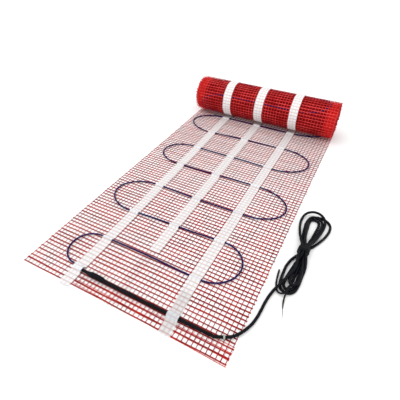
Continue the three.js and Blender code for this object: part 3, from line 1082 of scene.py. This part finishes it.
def white_tape(name, on_top):
    finish = Finish(name, 0.45, 0.2)
    x, y, z = finish.parts(finish.object_place())
    u, v, w = finish.parts(finish.node("ShaderNodeTexCoord", output="UV"))
    base = finish.mix(finish.noise(40), TAPE_WHITE, TAPE_WARM)
    threads = abs((x * THREADS[0]).sine()) + abs((y * THREADS[1]).sine())
    # Lines over the net's strands: painted shade of the tape's ribs, tinted by the red net showing through.
    crosswise = strand_lines(v, WEFT_PITCH, WEFT_EDGE).over(0.2, 1.0)
    lengthwise = strand_lines(u, WARP_PITCH, WARP_EDGE).over(0.5, 1.0)
    rib_shade_and_net_red = crosswise.math("MAXIMUM", crosswise, 0.7 * lengthwise)
    base = finish.mix(rib_shade_and_net_red * (0.35 + 0.7 * finish.noise(90)), base, TAPE_RIB_SHADE_AND_NET_RED)
    if on_top:
        lifted = z.over(*TAPE_LIFTED)
        base = finish.mix(0.4 * lifted, base, TAPE_OVER_CABLE)
        clear = u.over(*CLEAR_END_X) * (1 - v.over(*CLEAR_END_Y))
        cover = TOP_COVER - CLEAR_COVER_DROP * clear + CABLE_COVER_RISE * lifted
    else:
        cover = BACKING_COVER + ROLL_COVER_RISE * v.over(FLAT_END, FLAT_END + ROLL_COVER_RUN)
    finish.put(finish.shader.inputs["Alpha"], cover)
    finish.colour(base)
    finish.uneven(low=0.38, spread=0.2, scale=150)
    finish.bump(threads + finish.noise(500), 0.00007)
    return finish.material


def over_run(distance, crest, spread):
    """Height of a strip that is lifted over something round."""
    flat, foot = spread
    share = np.clip((foot - np.abs(distance)) / (foot - flat), 0, 1)
    return TAPE_REST + (crest - TAPE_REST) * share * share * (3 - 2 * share)


def laid_tape(name, edges, end, lift, finish):
    edges = np.array(edges)
    start = edges[0, 0]
    tape = strip(name, TAPE_COLUMNS, int((end - start) / TAPE_STEP))
    places = corners(tape)
    s = start + (places[:, 1] + 0.5) * (end - start)
    left = np.interp(s, edges[:, 0], edges[:, 1])
    right = np.interp(s, edges[:, 0], edges[:, 2])
    x = left + (places[:, 0] + 0.5) * (right - left)
    (slow, slow_length), (quick, quick_length) = TAPE_WAVES
    x += slow * np.sin(s / slow_length + start) + quick * np.sin(s / quick_length)
    measured = tape.data.uv_layers.active
    corner_of = np.empty(len(tape.data.loops), dtype=np.int32)
    tape.data.loops.foreach_get("vertex_index", corner_of)
    on_mat = np.stack([x, s], axis=1)[corner_of]
    measured.data.foreach_set("uv", on_mat.astype(np.float32).ravel())
    move_corners(tape, wind_up(x, s, lift(x, s)))
    finish_with(tape, "SOLIDIFY", thickness=TAPE_THICKNESS * MM, offset=1)
    smooth(tape, 40)
    tape.data.materials.append(finish)
    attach(tape, "root")
    (end - start) * MM
    return tape


def top_lift(x, s):
    """Height of a top tape: on the net, over each run of the cable and over the sleeve."""
    height = TAPE_REST + TAPE_RIB * np.cos(2 * pi * s / WEFT_PITCH) * np.cos(pi * x / WARP_PITCH) ** 2
    share = (x - RUN_START_X) / (RUN_END_X - RUN_START_X)
    crest = CABLE_LEVEL + CABLE_RADIUS + TAPE_GAP
    for left, right in zip(RUN_LEFT, RUN_RIGHT):
        run_y = left + (right - left) * share
        height = np.maximum(height, over_run(s - run_y - sway(x, run_y), crest, RUN_RISE))
    lead_in = np.clip((x - RUN_START_X) / (SLEEVE_START - RUN_START_X), 0, 1)
    cable_y = LEAD_IN_Y[0] + (LEAD_IN_Y[1] - LEAD_IN_Y[0]) * lead_in
    over_lead_in = over_run(s - cable_y, crest + LEAD_IN_RISE * lead_in, LEAD_IN_SPREAD)
    over_sleeve = over_run(s - SLEEVE_UNDER_TAPE, SLEEVE_CREST, SLEEVE_SPREAD)
    height = np.where(x < LEFT_TAPE_LIMIT, np.maximum(height, over_lead_in), height)
    height = np.where(x > RIGHT_TAPE_LIMIT, np.maximum(height, over_sleeve), height)
    curl = np.clip((CURL_START - s) / CURL_LENGTH, 0, 1) ** 2
    return height + CURL_HEIGHT * curl


def backing_lift(x, s):
    """Height of a backing tape: flat on the floor, and ribbed by the net's strands on the roll."""
    ribs = 1 - np.cos(2 * pi * s / WEFT_PITCH)
    return BACKING_REST + BACKING_RIB * np.where(s > ROLL_Y, ribs, 0)


top_tape_finish = white_tape("tape_white_over_cable", True)
backing_finish = white_tape("tape_white", False)
for side, edges in (("left", LEFT_EDGES), ("middle", MIDDLE_EDGES), ("right", RIGHT_EDGES)):
    top_tape = laid_tape(f"top_tape_{side}", edges, TOP_TAPE_END, top_lift, top_tape_finish)
    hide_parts(f"tape_{side}")
for side, edges in (("left", LEFT_BACKING), ("middle", MIDDLE_BACKING), ("right", RIGHT_BACKING)):
    backing = laid_tape(f"under_tape_{side}", edges, ROLL_TAPE_END, backing_lift, backing_finish)
    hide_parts(f"backing_tape_{side}", f"roll_tape_{side}")

bpy.context.view_layer.update()
